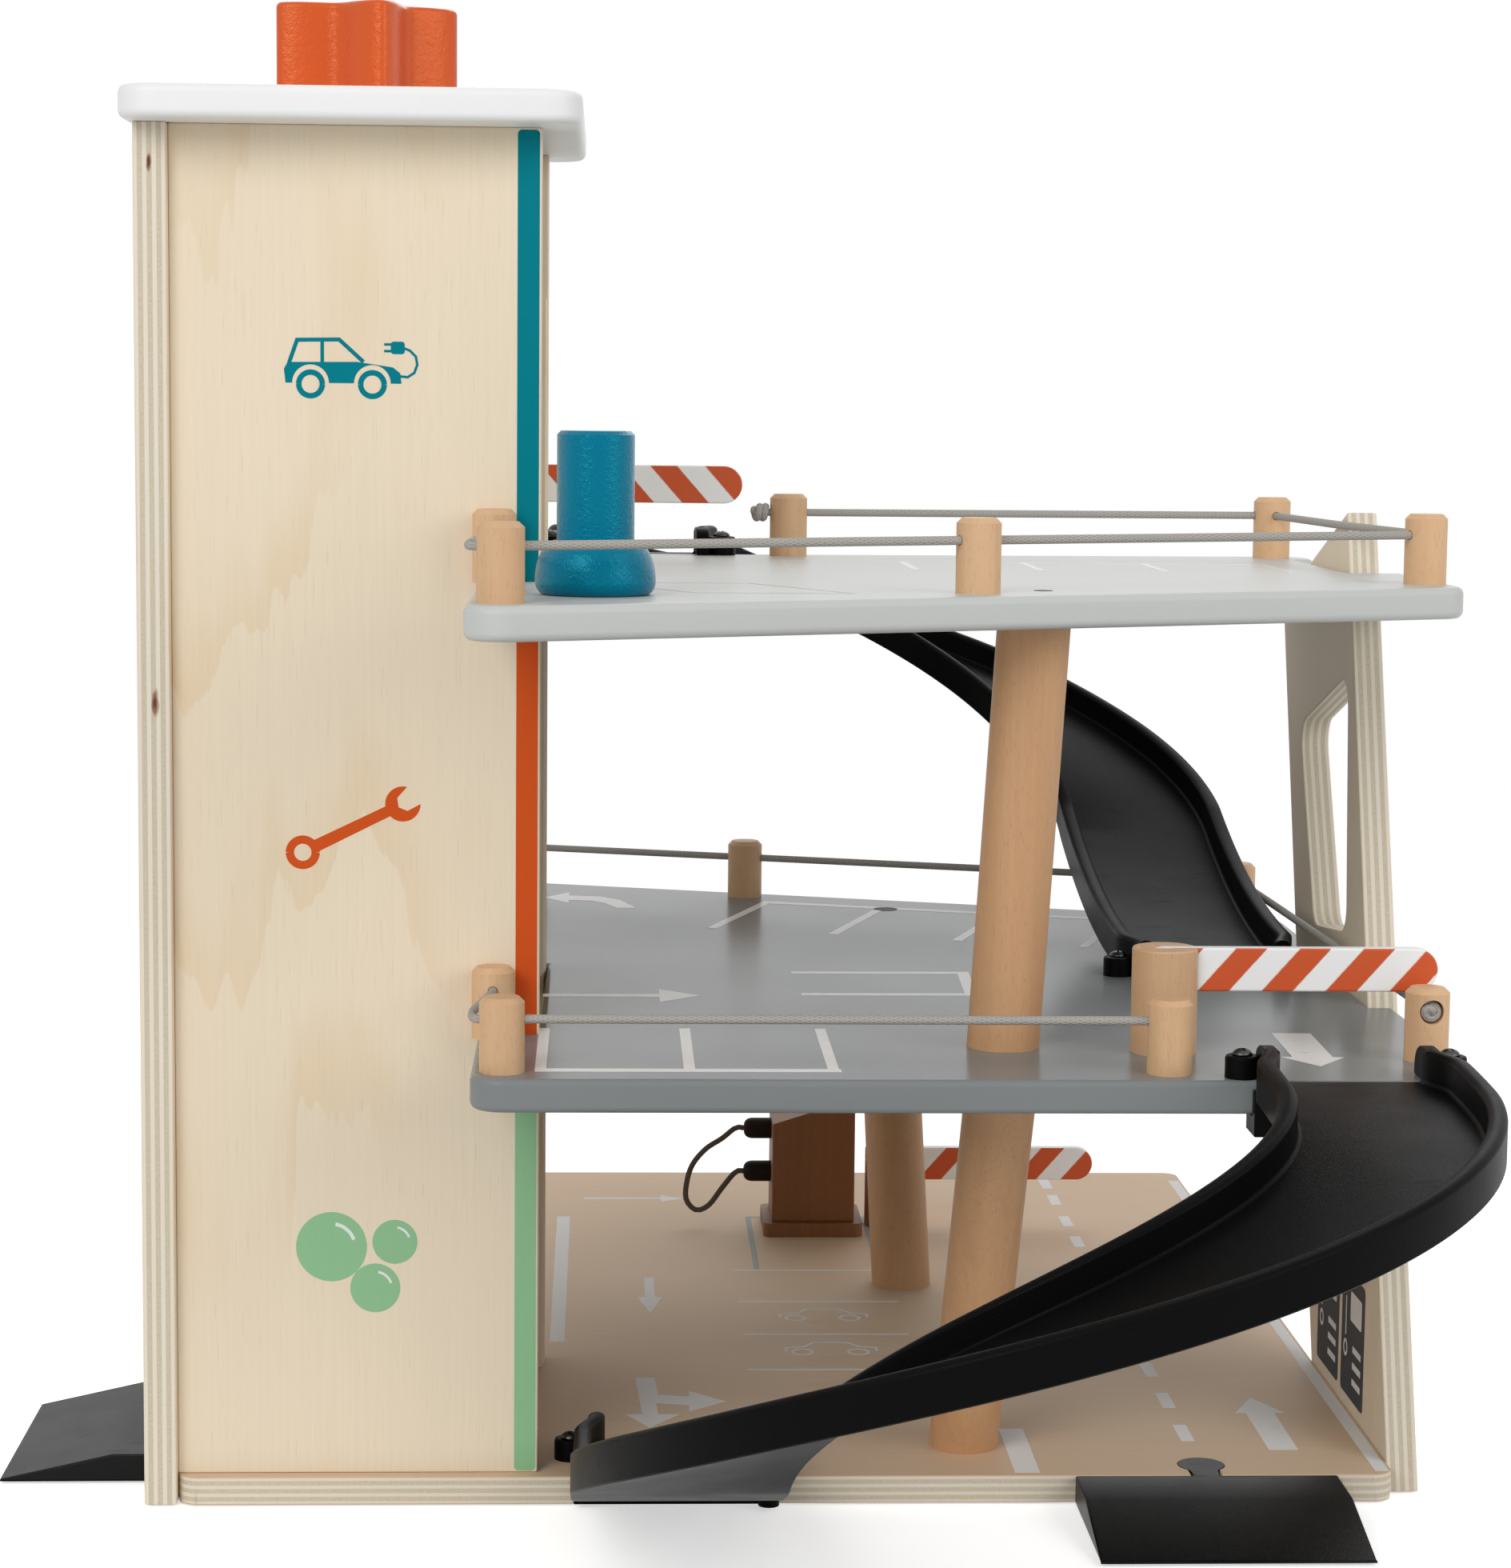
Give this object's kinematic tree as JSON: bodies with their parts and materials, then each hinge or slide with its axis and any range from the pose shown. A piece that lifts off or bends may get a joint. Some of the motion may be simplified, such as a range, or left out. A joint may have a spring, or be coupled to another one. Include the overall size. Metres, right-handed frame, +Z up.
{
  "type": "toy parking garage",
  "caption": "Wooden toy parking garage with two decks, a lift tower wound by a knob on the roof, curved plastic ramps, barriers, cord railings and a charging station.",
  "frame": {"origin": "centre of the base plate's underside", "axes": "+X from the lift tower towards the leaning wall, +Y from the front edge with the wedge ramp towards the back, +Z up"},
  "size_m": [0.414, 0.6033, 0.4202],
  "materials": {
    "birch_ply": "satin",
    "white_paint": "satin",
    "orange_paint": "satin",
    "steel": "satin",
    "dark_grey_paint": "satin",
    "pale_grey_paint": "satin",
    "elastic_cord": "matte",
    "black_plastic": "satin",
    "blue_paint": "gloss",
    "beech": "satin"
  },
  "bodies": {
    "frame": {"base_plate": "birch_ply", "tower_panel_near": "birch_ply", "tower_panel_far": "birch_ply", "tower_panel_back": "birch_ply", "roof": "white_paint", "roof_bush": "steel", "cord_guide_bar": "birch_ply", "lift_cord": "elastic_cord", "guide_strip_near": "birch_ply", "guide_strip_far": "birch_ply", "middle_deck": "dark_grey_paint", "upper_deck": "pale_grey_paint", "leaning_wall": "birch_ply", "column_front_lower": "beech", "column_front_upper": "beech", "column_back": "beech", "post_mid_left": "beech", "post_mid_tower": "beech", "post_mid_front": "beech", "post_mid_right": "beech", "post_mid_far_left": "beech", "post_mid_far": "beech", "post_mid_far_right": "beech", "post_up_left": "beech", "post_up_tower": "beech", "post_up_front": "beech", "post_up_right": "beech", "post_up_far_right": "beech", "post_up_far": "beech", "rail_cord_mid_front": "elastic_cord", "rail_cord_mid_far": "elastic_cord", "rail_cord_up": "elastic_cord", "barrier_post_low": "beech", "barrier_post_mid": "beech", "barrier_post_up": "beech", "barrier_pins": "steel", "ramp_low": "black_plastic", "ramp_low_rails": "black_plastic", "ramp_up": "black_plastic", "ramp_up_rails": "black_plastic", "ramp_screws": "steel", "wedge_left": "black_plastic", "bollard": "blue_paint", "charger_plinth": "beech", "charger_body": "beech", "plug_upper": "black_plastic", "plug_lower": "black_plastic", "charge_cable": "black_plastic", "panel_screws": "steel"},
    "lift": {"lift_floor": "birch_ply", "lift_side_near": "birch_ply", "lift_side_far": "birch_ply", "lift_top": "birch_ply", "lift_eye": "steel"},
    "knob": {"winding_knob": "orange_paint", "winding_axle": "steel", "winding_drum": "birch_ply"},
    "arm_low": {"barrier_arm_low": "white_paint"},
    "arm_mid": {"barrier_arm_mid": "white_paint"},
    "arm_up": {"barrier_arm_up": "white_paint"},
    "wedge": {"wedge_front": "black_plastic"}
  },
  "joints": [
    {"name": "lift_slide", "type": "slide", "parent": "frame", "child": "lift", "axis": [0, 0, 1], "range_m": [0, 0.2487], "deforming": ["lift_cord"]},
    {"name": "knob_turn", "type": "hinge", "parent": "frame", "child": "knob", "pos_m": [-0.1245, -0.1295, 0.3932], "axis": [0, 0, -1], "range_deg": [0, 1360]},
    {"name": "barrier_low_swing", "type": "hinge", "parent": "frame", "child": "arm_low", "pos_m": [0.0521, 0.108, 0.031], "axis": [0, -1, 0], "range_deg": [0, 85]},
    {"name": "barrier_mid_swing", "type": "hinge", "parent": "frame", "child": "arm_mid", "pos_m": [0.0997, -0.2135, 0.157], "axis": [0, -1, 0], "range_deg": [0, 85]},
    {"name": "barrier_up_swing", "type": "hinge", "parent": "frame", "child": "arm_up", "pos_m": [-0.085, -0.02786, 0.283], "axis": [0, -1, 0], "range_deg": [0, 85]},
    {"name": "wedge_lift_off", "type": "slide", "parent": "frame", "child": "wedge", "axis": [0, 0, 1], "range_m": [0, 0.03]}
  ],
  "couplings": [
    {"joint": "knob_turn", "follows": "lift_slide", "rad_per_m": 95.238}
  ]
}
